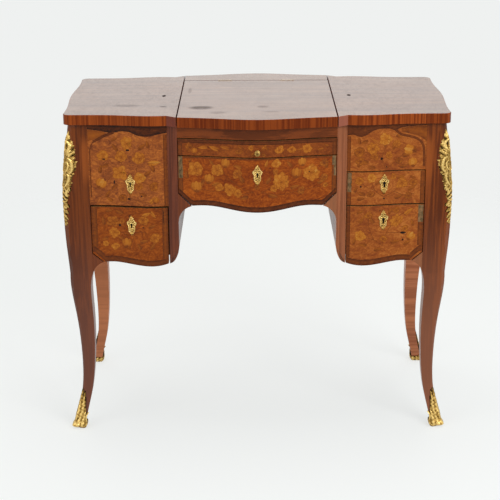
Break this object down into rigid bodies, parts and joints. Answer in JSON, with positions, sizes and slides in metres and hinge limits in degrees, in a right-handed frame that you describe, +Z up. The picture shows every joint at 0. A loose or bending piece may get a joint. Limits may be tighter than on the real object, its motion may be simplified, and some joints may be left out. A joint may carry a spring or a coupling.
{
  "type": "dressing table",
  "caption": "Serpentine dressing table on cabriole legs, with a mirror lid, folding wings over wells, a writing slide and drawers in two pedestals.",
  "frame": {"origin": "on the floor, under the middle of the top", "axes": "+X to the right of someone sitting at the table, +Y to the back, +Z up"},
  "size_m": [0.8804, 0.506, 0.752],
  "materials": {
    "marquetry": "polished floral marquetry veneer",
    "top_veneer": "polished quartered veneer, crossbanded edges",
    "case_veneer": "polished veneer, vertical grain",
    "oak": "waxed oak",
    "gilt_bronze": "gilt, burnished on the high points",
    "brass": "aged brass",
    "lock_steel": "aged steel",
    "mirror_glass": "old silvered glass",
    "writing_leather": "tooled leather"
  },
  "bodies": {
    "carcass": {"centre_back": "case_veneer", "centre_rail": "case_veneer", "corner_brackets": "case_veneer", "drawer_runners": "oak", "false_escutcheon": "gilt_bronze", "front_left_leg": "case_veneer", "front_left_stile": "case_veneer", "front_right_leg": "case_veneer", "front_right_stile": "case_veneer", "front_sabots": "gilt_bronze", "left_corner_mount": "gilt_bronze", "left_false_front": "marquetry", "left_inner_side": "case_veneer", "left_side_panel": "case_veneer", "left_well_bottom": "oak", "lid_hinge_plates": "brass", "mirror_well": "oak", "pedestal_backs": "case_veneer", "pedestal_bottoms": "oak", "rear_left_leg": "case_veneer", "rear_right_leg": "case_veneer", "rear_sabots": "gilt_bronze", "rear_stiles": "case_veneer", "rear_top_strip": "top_veneer", "right_corner_mount": "gilt_bronze", "right_drawer_divider": "oak", "right_false_front": "marquetry", "right_inner_side": "case_veneer", "right_side_panel": "case_veneer", "right_well_bottom": "oak", "slide_bed": "oak", "wing_hinge_plates": "brass"},
    "mirror_lid": {"lid_panel": "top_veneer", "mirror_glass": "mirror_glass", "mirror_moulding": "gilt_bronze", "lid_hinge_leaves": "brass"},
    "left_wing": {"left_wing_panel": "top_veneer", "left_wing_hinge_leaves": "brass"},
    "right_wing": {"right_wing_panel": "top_veneer", "right_wing_hinge_leaves": "brass"},
    "writing_slide": {"slide_board": "oak", "slide_leather": "writing_leather", "slide_front": "marquetry", "slide_knob": "brass"},
    "centre_drawer": {"centre_drawer_front": "marquetry", "centre_drawer_box": "oak", "centre_drawer_escutcheon": "gilt_bronze", "centre_drawer_lock": "lock_steel"},
    "left_drawer": {"left_drawer_front": "marquetry", "left_drawer_box": "oak", "left_drawer_escutcheon": "gilt_bronze", "left_drawer_lock": "lock_steel"},
    "right_upper_drawer": {"right_upper_drawer_front": "marquetry", "right_upper_drawer_box": "oak", "right_upper_drawer_escutcheon": "gilt_bronze", "right_upper_drawer_lock": "lock_steel"},
    "right_lower_drawer": {"right_lower_drawer_front": "marquetry", "right_lower_drawer_box": "oak", "right_lower_drawer_escutcheon": "gilt_bronze", "right_lower_drawer_lock": "lock_steel"}
  },
  "joints": [
    {"name": "lid_hinge", "type": "hinge", "parent": "carcass", "child": "mirror_lid", "pos_m": [0, 0.1675, 0.75], "axis": [-1, 0, 0], "range_deg": [0, 105]},
    {"name": "left_wing_hinge", "type": "hinge", "parent": "carcass", "child": "left_wing", "pos_m": [-0.433, 0, 0.7275], "axis": [0, -1, 0], "range_deg": [0, 180]},
    {"name": "right_wing_hinge", "type": "hinge", "parent": "carcass", "child": "right_wing", "pos_m": [0.433, 0, 0.7275], "axis": [0, 1, 0], "range_deg": [0, 180]},
    {"name": "writing_slide_pull", "type": "slide", "parent": "carcass", "child": "writing_slide", "axis": [0, -1, 0], "range_m": [0, 0.25]},
    {"name": "centre_drawer_pull", "type": "slide", "parent": "carcass", "child": "centre_drawer", "axis": [0, -1, 0], "range_m": [0, 0.28]},
    {"name": "left_drawer_pull", "type": "slide", "parent": "carcass", "child": "left_drawer", "axis": [0, -1, 0], "range_m": [0, 0.25]},
    {"name": "right_upper_drawer_pull", "type": "slide", "parent": "carcass", "child": "right_upper_drawer", "axis": [0, -1, 0], "range_m": [0, 0.25]},
    {"name": "right_lower_drawer_pull", "type": "slide", "parent": "carcass", "child": "right_lower_drawer", "axis": [0, -1, 0], "range_m": [0, 0.25]}
  ]
}
